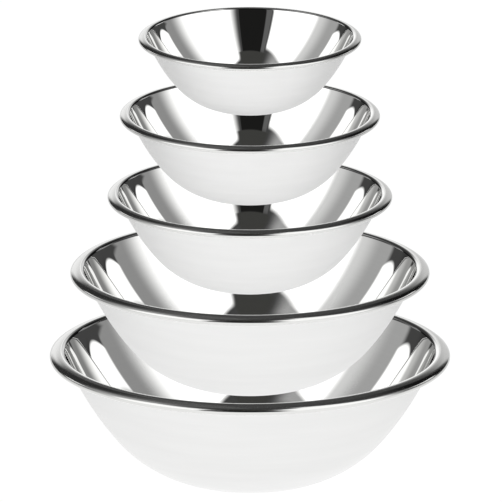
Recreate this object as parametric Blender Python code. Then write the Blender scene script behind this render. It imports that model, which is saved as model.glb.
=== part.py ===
"""Nesting set of five round stainless-steel bowls, held one above the other.

Units are metres and +Z is up. The origin is the middle of the largest bowl's base, on the
surface that the set stands on. Every bowl is one pressing of sheet steel: a flat base, a
rounded wall, a wide rim that arches down and outward, and an edge curled under it. All five
have the same outline, drawn to their own rim radius. Each bowl's origin is the middle of its
own base, on the axis that it lifts along.
"""

import math

import bpy

# The thickness of every bowl's sheet, and the flat faces that stand for its round.
SHEET = 0.0007
FACETS = 36

# The outline of the middle of the sheet, walked outward from the axis. Lengths are shares of
# the rim radius. Headings are in degrees, and a heading of 0 runs straight outward.
BASE_FLAT = 0.300
HEEL_RADIUS = 0.060
HEEL_HEADING = 12.5
LOWER_WALL_RADIUS = 0.662
LOWER_WALL_HEADING = 50.3
UPPER_WALL_RADIUS = 1.577
UPPER_WALL_HEADING = 67.8
SHOULDER_RADIUS = 0.0215
RIM_HEADING = -42.0
CURL_RADIUS = 0.016
CURL_HEADING = -234.0

# How many straight steps stand for each arc.
HEEL_STEPS = 1
LOWER_WALL_STEPS = 3
UPPER_WALL_STEPS = 4
SHOULDER_STEPS = 2
RIM_STEPS = 2
CURL_STEPS = 4

# Name, rim radius, and how far its base stands above the base of the next larger bowl.
BOWLS = (
    ("largest_bowl", 0.1683, 0.0),
    ("large_bowl", 0.1509, 0.0834),
    ("medium_bowl", 0.1195, 0.0859),
    ("small_bowl", 0.1091, 0.0768),
    ("smallest_bowl", 0.0934, 0.0768),
)

STEEL_COLOUR = (0.78, 0.78, 0.77, 1.0)
STEEL_ROUGHNESS = 0.28


class SheetPath:
    """The middle line of the sheet in the (radius, height) plane, made of lines and arcs."""

    def __init__(self, radius, height):
        self.points = [(radius, height, 0.0)]

    def line(self, length):
        """Goes straight on."""
        radius, height, heading = self.points[-1]
        end_radius = radius + length * math.cos(heading)
        end_height = height + length * math.sin(heading)
        self.points.append((end_radius, end_height, heading))

    def arc(self, arc_radius, end_degrees, steps):
        """Turns along an arc, upward or downward, to a new heading in degrees."""
        radius, height, start = self.points[-1]
        end = math.radians(end_degrees)
        side = 1.0 if end > start else -1.0
        centre_radius = radius - side * arc_radius * math.sin(start)
        centre_height = height + side * arc_radius * math.cos(start)
        for step in range(1, steps + 1):
            heading = start + (end - start) * step / steps
            arc_point_radius = centre_radius + side * arc_radius * math.sin(heading)
            arc_point_height = centre_height - side * arc_radius * math.cos(heading)
            self.points.append((arc_point_radius, arc_point_height, heading))


def sheet_path(rim_radius):
    """The middle line of one bowl's sheet, from the axis to the end of the curled edge."""
    path = SheetPath(0.0, SHEET / 2)
    path.line(BASE_FLAT * rim_radius)
    path.arc(HEEL_RADIUS * rim_radius, HEEL_HEADING, HEEL_STEPS)
    path.arc(LOWER_WALL_RADIUS * rim_radius, LOWER_WALL_HEADING, LOWER_WALL_STEPS)
    path.arc(UPPER_WALL_RADIUS * rim_radius, UPPER_WALL_HEADING, UPPER_WALL_STEPS)
    path.arc(SHOULDER_RADIUS * rim_radius, 0.0, SHOULDER_STEPS)

    # The rim's arch ends where the curl can start, so that the curl's outer side is at the
    # rim radius.
    curl_radius = CURL_RADIUS * rim_radius
    rim_sine = math.sin(math.radians(-RIM_HEADING))
    curl_start = rim_radius - SHEET / 2 - curl_radius * (1 - rim_sine)
    rim_arch_radius = (curl_start - path.points[-1][0]) / rim_sine
    path.arc(rim_arch_radius, RIM_HEADING, RIM_STEPS)
    path.arc(curl_radius, CURL_HEADING, CURL_STEPS)
    return path.points


def section(rim_radius):
    """The sheet's outline: up its inside from the axis, round the end, back down its outside."""
    inside = []
    outside = []
    for radius, height, heading in sheet_path(rim_radius):
        across = -math.sin(heading) * SHEET / 2
        up = math.cos(heading) * SHEET / 2
        inside.append((radius + across, height + up))
        outside.append((radius - across, height - up))
    return inside + outside[::-1]


def steel():
    """Stainless steel, as every bowl has it."""
    material = bpy.data.materials.new("stainless_steel")
    material.use_nodes = True
    shader = material.node_tree.nodes["Principled BSDF"]
    shader.inputs["Base Color"].default_value = STEEL_COLOUR
    shader.inputs["Metallic"].default_value = 1.0
    shader.inputs["Roughness"].default_value = STEEL_ROUGHNESS
    return material


def bowl(name, rim_radius, base_height, material):
    """One bowl: its section turned round the vertical axis."""
    points = section(rim_radius)
    mesh = bpy.data.meshes.new(name)
    mesh.from_pydata(
        [(radius, 0.0, height) for radius, height in points],
        [(start, start + 1) for start in range(len(points) - 1)],
        [],
    )
    mesh.materials.append(material)
    made = bpy.data.objects.new(name, mesh)
    bpy.context.scene.collection.objects.link(made)
    made.location = (0.0, 0.0, base_height)
    turn = made.modifiers.new("turn", "SCREW")
    turn.axis = "Z"
    turn.angle = math.tau
    turn.steps = FACETS
    turn.render_steps = FACETS
    turn.use_merge_vertices = True
    turn.merge_threshold = 0.00001
    turn.use_smooth_shade = True
    return made


def main():
    """Clears the scene and builds the five bowls, the largest at the bottom."""
    for old in list(bpy.data.objects):
        bpy.data.objects.remove(old)
    material = steel()
    base_height = 0.0
    for name, rim_radius, rise in BOWLS:
        base_height += rise
        bowl(name, rim_radius, base_height, material)


main()
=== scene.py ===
"""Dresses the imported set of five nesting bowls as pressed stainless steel.

Every bowl is one pressing of sheet steel with three finishes: a mirror-polished inside, a
bright rim that arches outward with its edge curled under, and a satin outside with faint
lines running round it. The script draws the sheet's outline to each bowl's own rim radius,
turns it round the bowl's axis with Geometry Nodes, and stands the set on a white floor in
a soft studio.
"""

import logging
import math
from dataclasses import dataclass
from enum import Enum

import bpy
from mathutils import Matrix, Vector


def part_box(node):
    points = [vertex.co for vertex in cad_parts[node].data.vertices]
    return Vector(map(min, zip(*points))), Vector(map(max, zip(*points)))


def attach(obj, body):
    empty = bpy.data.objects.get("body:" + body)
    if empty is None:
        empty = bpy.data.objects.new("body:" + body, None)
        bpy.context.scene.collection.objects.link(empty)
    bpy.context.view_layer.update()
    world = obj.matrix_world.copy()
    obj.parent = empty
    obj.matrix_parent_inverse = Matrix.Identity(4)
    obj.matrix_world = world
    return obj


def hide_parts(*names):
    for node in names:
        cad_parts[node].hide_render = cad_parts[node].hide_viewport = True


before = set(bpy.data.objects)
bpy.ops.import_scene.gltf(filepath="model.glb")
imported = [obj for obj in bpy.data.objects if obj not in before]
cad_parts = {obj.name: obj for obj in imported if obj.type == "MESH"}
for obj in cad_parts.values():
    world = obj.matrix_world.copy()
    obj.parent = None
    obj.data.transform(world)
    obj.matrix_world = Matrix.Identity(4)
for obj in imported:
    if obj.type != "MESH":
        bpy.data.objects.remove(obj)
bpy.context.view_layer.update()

log = logging.getLogger("nesting_bowls")

# The attribute that holds how far along the outline a point is, in rim radii.
ALONG = "along"
# A middling bowl's rim radius in metres, on which the painted dark ring at the crease is placed
# for all five.
MIDDLE_RIM_RADIUS = 0.12
HALF_TURN = 180.0
DEGREES = math.degrees(1.0)

# Whatever a node's socket or setting takes: a number, a colour, a name or a signal.
Value = object
Colour = tuple[float, float, float]
# A radius and a height, and for a step of the walk its heading in radians too.
Point = tuple[float, float]
Step = tuple[float, float, float]


class Zone(Enum):
    """The three finishes of one bowl, in the order that the sheet's outline meets them."""

    INSIDE = "Inside Finish"
    RIM = "Rim Finish"
    OUTSIDE = "Outside Finish"


class Signal:
    """A node's output socket that Python's operators work on, each adding its Math node."""

    def __init__(self, board: "NodeBoard", socket: bpy.types.NodeSocket) -> None:
        """Keeps the socket and the board that new nodes go on."""
        self.board = board
        self.socket = socket

    def sibling(self, name: str) -> "Signal":
        """Another output of the same node, by its name."""
        return Signal(self.board, self.socket.node.outputs[name])

    def math(self, operation: str, *others: Value) -> "Signal":
        """This value and others through one Math node."""
        return self.board.math(operation, self, *others)

    def __add__(self, other: Value) -> "Signal":
        """Sum."""
        return self.math("ADD", other)

    def __radd__(self, other: Value) -> "Signal":
        """Sum, with the number first."""
        return self.board.math("ADD", other, self)

    def __sub__(self, other: Value) -> "Signal":
        """Difference."""
        return self.math("SUBTRACT", other)

    def __rsub__(self, other: Value) -> "Signal":
        """Difference, with the number first."""
        return self.board.math("SUBTRACT", other, self)

    def __mul__(self, other: Value) -> "Signal":
        """Product."""
        return self.math("MULTIPLY", other)

    def __rmul__(self, other: Value) -> "Signal":
        """Product, with the number first."""
        return self.board.math("MULTIPLY", other, self)

    def __truediv__(self, other: Value) -> "Signal":
        """Quotient."""
        return self.math("DIVIDE", other)

    def __rtruediv__(self, other: Value) -> "Signal":
        """Quotient, with the number first."""
        return self.board.math("DIVIDE", other, self)

    def rising(self, low: float, high: float) -> "Signal":
        """A smooth step up.

        Args:
            low: Where it is still 0.
            high: Where it reaches 1.

        Returns:
            The step, from 0 to 1.
        """
        return self.board.add(
            "ShaderNodeMapRange",
            {"interpolation_type": "SMOOTHSTEP"},
            {"Value": self, "From Min": low, "From Max": high},
        )


class NodeBoard:
    """A node tree with one method for adding any node to it."""

    # The Mix node's sockets where it mixes colours. Each of its names stands on several.
    mix_share = 0
    mix_colours = (6, 7)
    mix_result = 2

    def __init__(self, tree: bpy.types.NodeTree) -> None:
        """Takes over an empty or default tree, whose nodes it clears."""
        self.tree = tree
        tree.nodes.clear()

    def add(
        self,
        kind: str,
        settings: dict[str, Value] | None = None,
        inputs: dict[str | int, Value] | None = None,
        output: str | int = 0,
    ) -> Signal:
        """Adds one node.

        Args:
            kind: The node's Blender type.
            settings: Its properties by name, set before its sockets are.
            inputs: Values or signals for its input sockets, by name or by index.
            output: The output that the returned signal stands for.

        Returns:
            The signal of that output, or of nothing where the node has no output.
        """
        node = self.tree.nodes.new(kind)
        for name, setting in (settings or {}).items():
            setattr(node, name, setting)
        for key, value in (inputs or {}).items():
            if isinstance(value, Signal):
                self.tree.links.new(value.socket, node.inputs[key])
            else:
                node.inputs[key].default_value = value
        return Signal(self, node.outputs[output] if node.outputs else None)

    def math(self, operation: str, *values: Value) -> Signal:
        """One Math node on up to three values."""
        return self.add("ShaderNodeMath", {"operation": operation}, dict(enumerate(values)))

    def vector(self, x: Value, y: Value, z: Value) -> Signal:
        """A vector of three values."""
        return self.add("ShaderNodeCombineXYZ", None, {"X": x, "Y": y, "Z": z})

    def colour_mix(self, share: Value, first: Value, second: Value) -> Signal:
        """A blend from the first colour to the second.

        Args:
            share: How much of the second colour there is, from 0 to 1.
            first: A colour signal, or three numbers.
            second: A colour signal, or three numbers.

        Returns:
            The blended colour.
        """
        inputs = {self.mix_share: share}
        for socket, colour in zip(self.mix_colours, (first, second)):
            inputs[socket] = (*colour, 1.0) if isinstance(colour, tuple) else colour
        return self.add("ShaderNodeMix", {"data_type": "RGBA"}, inputs, self.mix_result)


@dataclass(frozen=True)
class Bend:
    """One arc of the outline: its radius as a share of the rim's, and the heading it ends in."""

    radius: float
    heading: float
    steps: int


@dataclass(frozen=True)
class Outline:
    """The outline of the middle of the sheet, walked outward from the axis.

    Lengths are shares of the rim radius. Headings are in degrees, and 0 runs straight
    outward. The thickness is in metres, the same on every bowl.
    """

    sheet: float = 0.0007
    base_flat: float = 0.300
    base_steps: int = 6
    heel: Bend = Bend(0.060, 12.5, 5)
    lower_wall: Bend = Bend(0.662, 50.3, 20)
    upper_wall: Bend = Bend(1.577, 67.8, 24)
    shoulder: Bend = Bend(0.0215, 0.0, 14)
    rim_heading: float = -42.0
    rim_steps: int = 16
    curl: Bend = Bend(0.016, -234.0, 20)
    edge_steps: int = 6

    def arc(self, start: Step, bend: Bend, scale: float) -> list[Step]:
        """Walks along one arc.

        Args:
            start: The radius, height and heading in radians that the arc starts from.
            bend: The arc.
            scale: The length that the arc's radius is a share of.

        Returns:
            The radius, height and heading at the end of each step.
        """
        radius, height, heading = start
        end = math.radians(bend.heading)
        reach = bend.radius * scale * (1.0 if end > heading else -1.0)
        walked = []
        for step in range(1, bend.steps + 1):
            now = heading + (end - heading) * step / bend.steps
            across = reach * (math.sin(now) - math.sin(heading))
            up = reach * (math.cos(heading) - math.cos(now))
            walked.append((radius + across, height + up, now))
        return walked

    def middle_line(self, rim_radius: float) -> tuple[list[Step], int]:
        """Walks the middle of the sheet from the axis to the end of the curled edge.

        Args:
            rim_radius: The bowl's rim radius in metres.

        Returns:
            The radius, height and heading of each point, and the index of the point where
            the wall ends and the shoulder of the rim starts.
        """
        flat = self.base_flat * rim_radius
        line = [
            (flat * step / self.base_steps, self.sheet / 2, 0.0)
            for step in range(self.base_steps + 1)
        ]
        for bend in (self.heel, self.lower_wall, self.upper_wall):
            line += self.arc(line[-1], bend, rim_radius)
        wall_end = len(line) - 1
        line += self.arc(line[-1], self.shoulder, rim_radius)
        rim_sine = math.sin(math.radians(-self.rim_heading))
        curl_radius = self.curl.radius * rim_radius
        curl_start = rim_radius - self.sheet / 2 - curl_radius * (1 - rim_sine)
        arch_radius = (curl_start - line[-1][0]) / rim_sine
        line += self.arc(line[-1], Bend(arch_radius, self.rim_heading, self.rim_steps), 1.0)
        line += self.arc(line[-1], self.curl, rim_radius)
        return line, wall_end

    def section(
        self, rim_radius: float
    ) -> tuple[list[Point], list[float], tuple[float, float, float]]:
        """The outline of the sheet itself: up its inside, round its edge, down its outside.

        Args:
            rim_radius: The bowl's rim radius in metres.

        Returns:
            The outline's points as radius and height, how far along it each of them is as
            a share of the rim radius, and how far along it the wall ends, the rim starts
            and the rim ends.
        """
        line, wall_end = self.middle_line(rim_radius)
        half = self.sheet / 2
        inside = [(r - half * math.sin(h), z + half * math.cos(h)) for r, z, h in line]
        outside = [(r + half * math.sin(h), z - half * math.cos(h)) for r, z, h in line]
        radius, height, heading = line[-1]
        edge = []
        for step in range(1, self.edge_steps):
            turned = heading + math.pi / 2 - math.pi * step / self.edge_steps
            edge.append((radius + half * math.cos(turned), height + half * math.sin(turned)))
        points = inside + edge + outside[::-1]
        reached = [distance / rim_radius for distance in distances(points)]
        ridge = wall_end + self.shoulder.steps
        marks = (reached[wall_end], reached[ridge], reached[len(points) - 1 - ridge])
        return points, reached, marks


def distances(points: list[Point]) -> list[float]:
    """How far along a line each of its points is.

    Args:
        points: The line's points.

    Returns:
        The distance from the first point, for each point.
    """
    reached = [0.0]
    for before, after in zip(points, points[1:]):
        reached.append(reached[-1] + math.dist(before, after))
    return reached


class TurnedSheet:
    """The Geometry Nodes that turn a sheet's outline round the upright axis.

    The tree lays a grid with one row for each point of the outline and one column for each
    place round the axis, and moves every point of the grid to its place.
    """

    merge_distance = 0.00001
    # Keeps a division that should come out whole from landing just under it.
    rounding_guard = 0.00005

    def __init__(self) -> None:
        """Builds the tree and its named inputs."""
        self.tree = bpy.data.node_groups.new("turned_sheet", "GeometryNodeTree")
        self.sockets: dict[str, str] = {}
        for name, kind in (
            ("Outline", "NodeSocketGeometry"),
            ("Rounds", "NodeSocketInt"),
            ("Rim Starts", "NodeSocketFloat"),
            ("Rim Ends", "NodeSocketFloat"),
            *((zone.value, "NodeSocketMaterial") for zone in Zone),
        ):
            socket = self.tree.interface.new_socket(name, in_out="INPUT", socket_type=kind)
            self.sockets[name] = socket.identifier
        self.tree.interface.new_socket(
            "Bowl", in_out="OUTPUT", socket_type="NodeSocketGeometry"
        )
        self.lay_out()

    def lay_out(self) -> None:
        """Adds the tree's nodes."""
        board = NodeBoard(self.tree)
        given = board.add("NodeGroupInput")
        outline = given.sibling("Outline")
        rows = board.add(
            "GeometryNodeAttributeDomainSize", {"component": "MESH"}, {"Geometry": outline}
        )
        columns = given.sibling("Rounds") + 1
        grid = board.add(
            "GeometryNodeMeshGrid", None, {"Vertices X": rows, "Vertices Y": columns}
        )
        index = board.add("GeometryNodeInputIndex")
        row = (index / columns + self.rounding_guard).math("FLOOR")
        angle = (index - row * columns) * math.tau / given.sibling("Rounds")
        position = board.add("GeometryNodeInputPosition")
        place = self.sampled(board, outline, row, "FLOAT_VECTOR", position)
        turned = board.add(
            "ShaderNodeVectorRotate",
            {"rotation_type": "Z_AXIS"},
            {"Vector": place, "Angle": angle},
        )
        moved = board.add("GeometryNodeSetPosition", None, {"Geometry": grid, "Position": turned})
        along = board.add(
            "GeometryNodeInputNamedAttribute", {"data_type": "FLOAT"}, {"Name": ALONG}
        )
        kept = board.add(
            "GeometryNodeStoreNamedAttribute",
            {"data_type": "FLOAT", "domain": "POINT"},
            {
                "Geometry": moved,
                "Name": ALONG,
                "Value": self.sampled(board, outline, row, "FLOAT", along),
            },
        )
        closed = board.add(
            "GeometryNodeMergeByDistance",
            None,
            {"Geometry": kept, "Distance": self.merge_distance},
        )
        smooth = board.add("GeometryNodeSetShadeSmooth", None, {0: closed})
        shape = board.add("GeometryNodeRealizeInstances", None, {"Geometry": smooth})
        passed_start = along.math("GREATER_THAN", given.sibling("Rim Starts"))
        passed_end = along.math("GREATER_THAN", given.sibling("Rim Ends"))
        chosen = {Zone.INSIDE: 1 - passed_start, Zone.RIM: passed_start, Zone.OUTSIDE: passed_end}
        for zone, selection in chosen.items():
            shape = board.add(
                "GeometryNodeSetMaterial",
                None,
                {"Geometry": shape, "Selection": selection, "Material": given.sibling(zone.value)},
            )
        board.add("NodeGroupOutput", None, {"Bowl": shape})

    def sampled(
        self, board: NodeBoard, outline: Signal, row: Signal, kind: str, value: Signal
    ) -> Signal:
        """Reads a value from the outline's point of each row.

        Args:
            board: The board that the node goes on.
            outline: The outline's geometry.
            row: The index of the point that is read.
            kind: The value's data type.
            value: What is read there.

        Returns:
            The value at that point.
        """
        return board.add(
            "GeometryNodeSampleIndex",
            {"data_type": kind, "domain": "POINT"},
            {"Geometry": outline, "Value": value, "Index": row},
        )

    def turn(
        self, name: str, outline: bpy.types.Mesh, values: dict[str, Value]
    ) -> bpy.types.Object:
        """Turns one outline into a plain mesh.

        Args:
            name: The finished piece's name.
            outline: The outline as a mesh of points and edges in the XZ plane.
            values: The tree's named inputs.

        Returns:
            The finished piece, with no modifier left on it.
        """
        guide = bpy.data.objects.new(name + "_outline", outline)
        bpy.context.scene.collection.objects.link(guide)
        modifier = guide.modifiers.new("turned_sheet", "NODES")
        modifier.node_group = self.tree
        for socket, value in values.items():
            modifier[self.sockets[socket]] = value
        depsgraph = bpy.context.evaluated_depsgraph_get()
        mesh = bpy.data.meshes.new_from_object(
            guide.evaluated_get(depsgraph), depsgraph=depsgraph
        )
        bpy.data.objects.remove(guide)
        mesh.name = name
        piece = bpy.data.objects.new(name, mesh)
        bpy.context.scene.collection.objects.link(piece)
        return piece


@dataclass(frozen=True)
class Grain:
    """A noise drawn out round the bowl's axis.

    The round scale is how fast it changes in one turn of the bowl, the across scale how fast
    it changes over one rim radius of sheet, and the detail how many finer layers it has.
    """

    round_scale: float
    across_scale: float
    detail: float


@dataclass(frozen=True)
class Relief:
    """How strongly a bump shows, and how deep it is in metres."""

    strength: float
    depth: float


class Finish:
    """What the three finishes share: steel whose pattern runs round the bowl."""

    noise_roughness = 0.55
    # Keeps the middle of the base from dividing by a radius of 0, in square metres.
    axis_guard = 1e-8

    def __init__(self, name: str) -> None:
        """Starts an empty material.

        Args:
            name: The material's name.
        """
        self.material = bpy.data.materials.new(name)
        self.material.use_nodes = True
        self.board = NodeBoard(self.material.node_tree)

    def rings(self, grain: Grain) -> Signal:
        """Draws a grain on the sheet.

        Args:
            grain: The grain's scales and detail.

        Returns:
            The noise, from 0 to 1.
        """
        board = self.board
        place = board.add("ShaderNodeTexCoord", output="Object")
        split = board.add("ShaderNodeSeparateXYZ", None, {"Vector": place})
        x, y = split, split.sibling("Y")
        radius = (x * x + y * y + self.axis_guard).math("SQRT")
        where = board.vector(
            x / radius * grain.round_scale,
            y / radius * grain.round_scale,
            self.along() * grain.across_scale,
        )
        return board.add(
            "ShaderNodeTexNoise",
            {"noise_dimensions": "3D"},
            {
                "Vector": where,
                "Scale": 1.0,
                "Detail": grain.detail,
                "Roughness": self.noise_roughness,
            },
        )

    def along(self) -> Signal:
        """How far along the outline the surface is, in rim radii."""
        return self.board.add("ShaderNodeAttribute", {"attribute_name": ALONG}, output="Fac")

    def bump(self, height: Signal, relief: Relief) -> Signal:
        """A normal that follows a height.

        Args:
            height: The height, from 0 to 1.
            relief: How strong and how deep the bump is.

        Returns:
            The bumped normal.
        """
        return self.board.add(
            "ShaderNodeBump",
            None,
            {"Strength": relief.strength, "Distance": relief.depth, "Height": height},
        )

    def steel(self, colour: Value, roughness: Value, normal: Signal) -> Signal:
        """Bare metal with this colour, roughness and normal."""
        return self.board.add(
            "ShaderNodeBsdfPrincipled",
            None,
            {"Base Color": colour, "Metallic": 1.0, "Roughness": roughness, "Normal": normal},
        )

    def mix(self, share: Signal, first: Signal, second: Signal) -> Signal:
        """A Mix Shader from the first shader to the second."""
        return self.board.add("ShaderNodeMixShader", None, {0: share, 1: first, 2: second})

    def unreflected(self, steel: Signal) -> Signal:
        """Leaves the steel out of every reflection, so that no bowl darkens another's inside.

        Args:
            steel: The steel as it is seen directly.

        Returns:
            The steel, and nothing where a reflected ray meets it.
        """
        reflected = self.board.add("ShaderNodeLightPath", output="Is Glossy Ray")
        clear = self.board.add("ShaderNodeBsdfTransparent")
        return self.mix(reflected, steel, clear)

    def finish(self, surface: Signal) -> bpy.types.Material:
        """Sets the material's surface and returns the material."""
        self.board.add("ShaderNodeOutputMaterial", None, {"Surface": surface})
        return self.material


@dataclass(frozen=True)
class SatinSteel:
    """The outside: fine abrasive lines round the bowl, a little uneven from band to band."""

    light: Colour = (0.652, 0.652, 0.648)
    dark: Colour = (0.628, 0.628, 0.624)
    roughness: float = 0.35
    roughness_spread: float = 0.10
    line_grain: Grain = Grain(1.6, 125.0, 3.0)
    band_grain: Grain = Grain(1.1, 12.0, 2.0)
    line_share: float = 0.35
    tone_range: tuple[float, float] = (0.30, 0.70)
    relief: Relief = Relief(0.20, 0.00002)

    def made(self, name: str) -> bpy.types.Material:
        """Builds the material.

        Args:
            name: The material's name.

        Returns:
            The material.
        """
        finish = Finish(name)
        lines = finish.rings(self.line_grain)
        bands = finish.rings(self.band_grain)
        tone = lines * self.line_share + bands * (1 - self.line_share)
        steel = finish.steel(
            finish.board.colour_mix(tone.rising(*self.tone_range), self.dark, self.light),
            self.roughness + lines * self.roughness_spread,
            finish.bump(lines, self.relief),
        )
        return finish.finish(finish.unreflected(steel))


@dataclass(frozen=True)
class BrightSteel:
    """The rim and its curled edge: buffed bright, with the buff's faint marks."""

    light: Colour = (0.62, 0.62, 0.61)
    dark: Colour = (0.54, 0.54, 0.53)
    roughness: float = 0.10
    roughness_spread: float = 0.06
    buff_grain: Grain = Grain(2.4, 200.0, 2.0)
    relief: Relief = Relief(0.10, 0.00001)

    def made(self, name: str) -> bpy.types.Material:
        """Builds the material.

        Args:
            name: The material's name.

        Returns:
            The material.
        """
        finish = Finish(name)
        marks = finish.rings(self.buff_grain)
        steel = finish.steel(
            finish.board.colour_mix(marks, self.dark, self.light),
            self.roughness + marks * self.roughness_spread,
            finish.bump(marks, self.relief),
        )
        return finish.finish(finish.unreflected(steel))


@dataclass(frozen=True)
class MirrorSteel:
    """The inside: polished to a mirror, with faint rings left by the polishing.

    A dark ring of painted shade and painted dark reflection lies in the colour at the crease where
    the wall bends out to the rim. Its place is how far it is along the outline.
    """

    crease: float
    crease_width: float = 0.007
    crease_fade: float = 0.003
    light: Colour = (0.79, 0.79, 0.78)
    dark: Colour = (0.76, 0.76, 0.75)
    # Painted shade: the dark colour of the ring at the crease, standing for a dark reflection.
    painted_crease_shade: Colour = (0.12, 0.12, 0.12)
    roughness: float = 0.0
    polish_grain: Grain = Grain(1.3, 58.0, 2.0)
    wave_grain: Grain = Grain(2.2, 3.6, 1.0)
    polish_height: float = 0.02
    relief: Relief = Relief(0.25, 0.00004)

    def made(self, name: str) -> bpy.types.Material:
        """Builds the material.

        Args:
            name: The material's name.

        Returns:
            The material.
        """
        finish = Finish(name)
        board = finish.board
        polish = finish.rings(self.polish_grain)
        waves = finish.rings(self.wave_grain)
        polished = board.colour_mix(polish, self.dark, self.light)
        steel = finish.steel(
            # The ring at the crease gets painted shade and a painted dark reflection in place of
            # the polished colour.
            board.colour_mix(self.in_crease(finish.along()), polished, self.painted_crease_shade),
            self.roughness,
            finish.bump(waves + polish * self.polish_height, self.relief),
        )
        return finish.finish(self.reflected_once_more(finish, steel))

    def in_crease(self, along: Signal) -> Signal:
        """Where the painted dark ring at the crease is.

        Args:
            along: How far along the outline the surface is, in rim radii.

        Returns:
            1 in the crease and 0 outside it.
        """
        end = self.crease + self.crease_width
        past_start = along.rising(self.crease, self.crease + self.crease_fade)
        return past_start * (1 - along.rising(end, end + self.crease_fade))

    def reflected_once_more(self, finish: Finish, steel: Signal) -> Signal:
        """Keeps the bounces inside one bowl, and leaves the steel out of other reflections.

        Args:
            finish: The finish that the nodes go on.
            steel: The steel as it is seen directly.

        Returns:
            The steel for direct rays, and for a mirrored ray that has passed through nothing.
        """
        ray = finish.board.add("ShaderNodeLightPath")
        clear = finish.board.add("ShaderNodeBsdfTransparent")
        passed = ray.sibling("Transparent Depth").math("MINIMUM", 1.0)
        within = ray.sibling("Is Singular Ray") * (1 - passed)
        reflection = finish.mix(1 - within, steel, clear)
        return finish.mix(ray.sibling("Is Glossy Ray"), steel, reflection)


@dataclass
class Bowl:
    """One bowl of the set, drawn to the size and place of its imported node."""

    name: str
    outline: Outline
    rounds: int = 288

    def build(
        self, turner: TurnedSheet, finishes: dict[Zone, bpy.types.Material]
    ) -> bpy.types.Object:
        """Draws the bowl's outline and turns it.

        Args:
            turner: The tree that turns an outline.
            finishes: The material of each zone.

        Returns:
            The finished bowl.
        """
        low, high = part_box(self.name)
        points, reached, (_, rim_starts, rim_ends) = self.outline.section((high.x - low.x) / 2)
        mesh = bpy.data.meshes.new(self.name + "_outline")
        mesh.from_pydata(
            [(radius, 0.0, low.z + height) for radius, height in points],
            [(start, start + 1) for start in range(len(points) - 1)],
            [],
        )
        mesh.attributes.new(ALONG, "FLOAT", "POINT").data.foreach_set("value", reached)
        return turner.turn(
            self.name + "_sheet",
            mesh,
            {
                "Rounds": self.rounds,
                "Rim Starts": rim_starts,
                "Rim Ends": rim_ends,
                **{zone.value: finish for zone, finish in finishes.items()},
            },
        )

    def fit(self, piece: bpy.types.Object) -> None:
        """Sets the piece on its body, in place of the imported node.

        Args:
            piece: The finished bowl.
        """
        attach(piece, self.name)
        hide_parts(self.name)


@dataclass(frozen=True)
class Panel:
    """One light or dark patch of the studio, as directions seen from the object, in degrees.

    Azimuth 0 is on the camera's side and 90 to the right. A side's softness is the width
    that the patch fades over, outside its full part. The lean lifts the low and high edges
    by so many degrees for each degree to the right, and the bow by so many for the square
    of each degree from the patch's middle.
    """

    left: float
    right: float
    low: float
    high: float
    colour: Colour
    left_soft: float = 1.0
    right_soft: float = 1.0
    low_soft: float = 4.0
    high_soft: float = 4.0
    lean: float = 0.0
    bow: float = 0.0

    def mask(self, azimuth: Signal, elevation: Signal) -> Signal:
        """Where the patch is.

        Args:
            azimuth: The direction's azimuth in degrees.
            elevation: Its elevation in degrees.

        Returns:
            1 inside the patch and 0 outside it.
        """
        middle = (self.left + self.right) / 2
        half = (self.right - self.left) / 2
        offset = (azimuth - middle).math("WRAP", HALF_TURN, -HALF_TURN)
        rise = elevation - offset * self.lean if self.lean else elevation
        rise = rise - offset * offset * self.bow if self.bow else rise
        inside = offset.rising(-half - self.left_soft, -half)
        inside = inside * (1 - offset.rising(half, half + self.right_soft))
        inside = inside * rise.rising(self.low - self.low_soft, self.low)
        return inside * (1 - rise.rising(self.high, self.high + self.high_soft))


def grey(level: float, warmth: float = 0.0) -> Colour:
    """A grey of that level, with a little more red and green where it is warm."""
    return (level * (1 + warmth), level * (1 + warmth), level * (1 - warmth))


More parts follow.
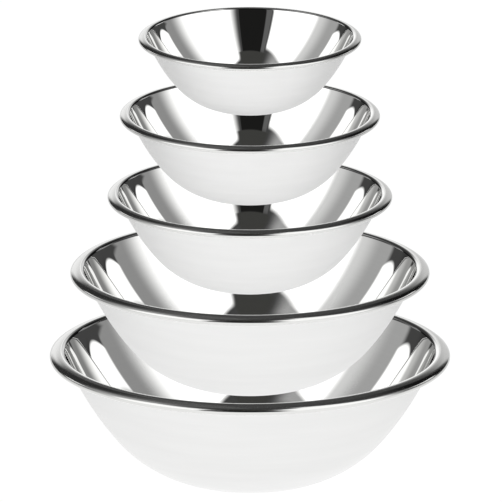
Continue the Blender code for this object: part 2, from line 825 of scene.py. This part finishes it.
@dataclass
class Studio:
    """A white floor, two large soft panels with a dark gap between them, and a dark ceiling.

    The floor glows, and a pool of light is painted into its glow: brightest round a spot in front
    of the set, fading from its near to its far brightness past the spot's reach. The camera sees
    floor and backdrop plain white.
    A panel covers those before it in the list.
    """

    white: float = 1.02
    ceiling: float = 0.066
    floor_half: float = 60.0
    floor_near: float = 1.38
    floor_far: float = 0.88
    spot_y: float = -1.0
    spot_reach: float = 0.80
    spot_fade: float = 0.65
    # How many faces a ray may pass. Crossing all five bowls takes 20, and 2 more for each curl.
    clear_passes: int = 48
    panels: tuple[Panel, ...] = (
        # Dim and high, behind the set.
        Panel(152, 200, 30, 90, grey(0.090), left_soft=16, right_soft=10, low_soft=12),
        Panel(-165, -100, 30, 90, grey(0.15), left_soft=10, right_soft=30, low_soft=12),
        # Dark, behind the set on either side.
        Panel(128, 147, 10, 40, grey(0.010), left_soft=5, right_soft=8, high_soft=16),
        Panel(-158, -136, 0, 46, grey(0.040), left_soft=8, right_soft=8, high_soft=14),
        # Bright and low, straight behind the set.
        Panel(160, 180, -90, 14, grey(0.80), left_soft=6, high_soft=18),
        Panel(178, 196, -90, 14, grey(1.20), left_soft=4, right_soft=9, high_soft=12),
        # Grey, beside the set on either side.
        Panel(-115, -60, 9, 46, grey(0.44), left_soft=5, low_soft=3, high_soft=10),
        Panel(60, 112, 13, 40, grey(0.33), right_soft=2, low_soft=2, high_soft=12),
        # Small and bright, with a rounded lower edge, farther back on either side.
        Panel(
            -131, -116, 9.6, 20, grey(1.4),
            left_soft=2, right_soft=2, low_soft=1.2, lean=0.30, bow=0.035,
        ),
        Panel(
            113.5, 132, 9.3, 20, grey(1.4),
            left_soft=2, right_soft=2, low_soft=1.0, lean=-0.25, bow=0.035,
        ),
        # The large bright panels to the left and right of the camera, and their grey borders.
        Panel(-118, -54, 40, 61, grey(0.44), left_soft=8, right_soft=24, high_soft=12),
        Panel(-88, -30, -20, 51, grey(0.80), left_soft=18, right_soft=2),
        Panel(-80, -31, -20, 53, grey(1.7), left_soft=8, right_soft=4, lean=-0.10),
        Panel(28, 76, -20, 66, grey(1.7), left_soft=13, right_soft=27, high_soft=5, lean=0.25),
        # The dark gap over the camera, its grey left edge, and the ceiling above it.
        Panel(-26, -20, 10, 54, grey(0.14)),
        Panel(-19, 13, 10, 56, grey(0.013, 0.02), left_soft=2, high_soft=2),
        Panel(-26, 18, 57, 90, grey(0.056, 0.03), left_soft=8, right_soft=6, low_soft=1),
    )

    def light(self) -> None:
        """Gives the scene a world with the panels in it."""
        world = bpy.data.worlds.new("studio")
        world.use_nodes = True
        world.cycles.sampling_method = "NONE"
        bpy.context.scene.cycles.transparent_max_bounces = self.clear_passes
        bpy.context.scene.world = world
        board = NodeBoard(world.node_tree)
        split = board.add(
            "ShaderNodeSeparateXYZ",
            None,
            {"Vector": board.add("ShaderNodeTexCoord", output="Generated")},
        )
        to_camera = 0 - split.sibling("Y")
        azimuth = split.math("ARCTAN2", to_camera) * DEGREES
        elevation = split.sibling("Z").math("ARCSINE") * DEGREES
        shade = grey(self.ceiling)
        for panel in self.panels:
            shade = board.colour_mix(panel.mask(azimuth, elevation), shade, panel.colour)
        seen = board.add("ShaderNodeLightPath", output="Is Camera Ray")
        shade = board.colour_mix(seen, shade, grey(self.white))
        background = board.add("ShaderNodeBackground", None, {"Color": shade})
        board.add("ShaderNodeOutputWorld", None, {"Surface": background})

    def floor(self) -> None:
        """Lays the white floor that the set stands on. It glows, with a pool of light painted into
        its glow.
        """
        half = self.floor_half
        mesh = bpy.data.meshes.new("floor")
        corners = [(-half, -half, 0), (half, -half, 0), (half, half, 0), (-half, half, 0)]
        mesh.from_pydata(corners, [], [(0, 1, 2, 3)])
        material = bpy.data.materials.new("white_floor")
        material.use_nodes = True
        material.cycles.emission_sampling = "NONE"
        board = NodeBoard(material.node_tree)
        place = board.add("ShaderNodeTexCoord", output="Object")
        split = board.add("ShaderNodeSeparateXYZ", None, {"Vector": place})
        ahead = split.sibling("Y") - self.spot_y
        distance = (split * split + ahead * ahead).math("SQRT")
        away = distance.rising(self.spot_reach, self.spot_reach + self.spot_fade)
        # A painted pool of light: the glow is brightest round the spot and dimmer farther off.
        shade = board.colour_mix(away, grey(self.floor_near), grey(self.floor_far))
        seen = board.add("ShaderNodeLightPath", output="Is Camera Ray")
        shade = board.colour_mix(seen, shade, grey(self.white))
        glow = board.add("ShaderNodeEmission", None, {"Color": shade})
        board.add("ShaderNodeOutputMaterial", None, {"Surface": glow})
        mesh.materials.append(material)
        floor = bpy.data.objects.new("floor", mesh)
        bpy.context.scene.collection.objects.link(floor)


@dataclass
class Camera:
    """A very long lens, so that every bowl is seen at the same elevation."""

    elevation: float = 16.2
    field: float = 0.4215
    aim: Vector = Vector((0.0009, 0.0, 0.1964))
    lens: float = 1700.0
    sensor: float = 36.0

    def place(self) -> None:
        """Adds the camera and makes it the scene's."""
        data = bpy.data.cameras.new("camera")
        data.lens = self.lens
        data.sensor_width = self.sensor
        camera = bpy.data.objects.new("camera", data)
        bpy.context.scene.collection.objects.link(camera)
        lift = math.radians(self.elevation)
        distance = self.field * self.lens / self.sensor
        back = Vector((0.0, -math.cos(lift), math.sin(lift)))
        camera.location = self.aim + back * distance
        camera.rotation_euler = (math.pi / 2 - lift, 0.0, 0.0)
        bpy.context.scene.camera = camera


def main() -> None:
    """Builds the five bowls, the studio and the camera, and logs each bowl's face count."""
    logging.basicConfig(level=logging.INFO, format="%(name)s: %(message)s")
    bpy.context.scene.view_settings.view_transform = "Standard"
    Camera().place()
    studio = Studio()
    studio.light()
    studio.floor()
    outline = Outline()
    _, _, (wall_ends, _, _) = outline.section(MIDDLE_RIM_RADIUS)
    finishes = {
        Zone.INSIDE: MirrorSteel(crease=wall_ends).made("mirror_steel"),
        Zone.RIM: BrightSteel().made("bright_steel"),
        Zone.OUTSIDE: SatinSteel().made("satin_steel"),
    }
    turner = TurnedSheet()
    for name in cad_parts:
        bowl = Bowl(name, outline)
        piece = bowl.build(turner, finishes)
        bowl.fit(piece)
        log.info("%s has %d faces", piece.name, len(piece.data.polygons))
    bpy.context.view_layer.update()


if __name__ == "__main__":
    main()
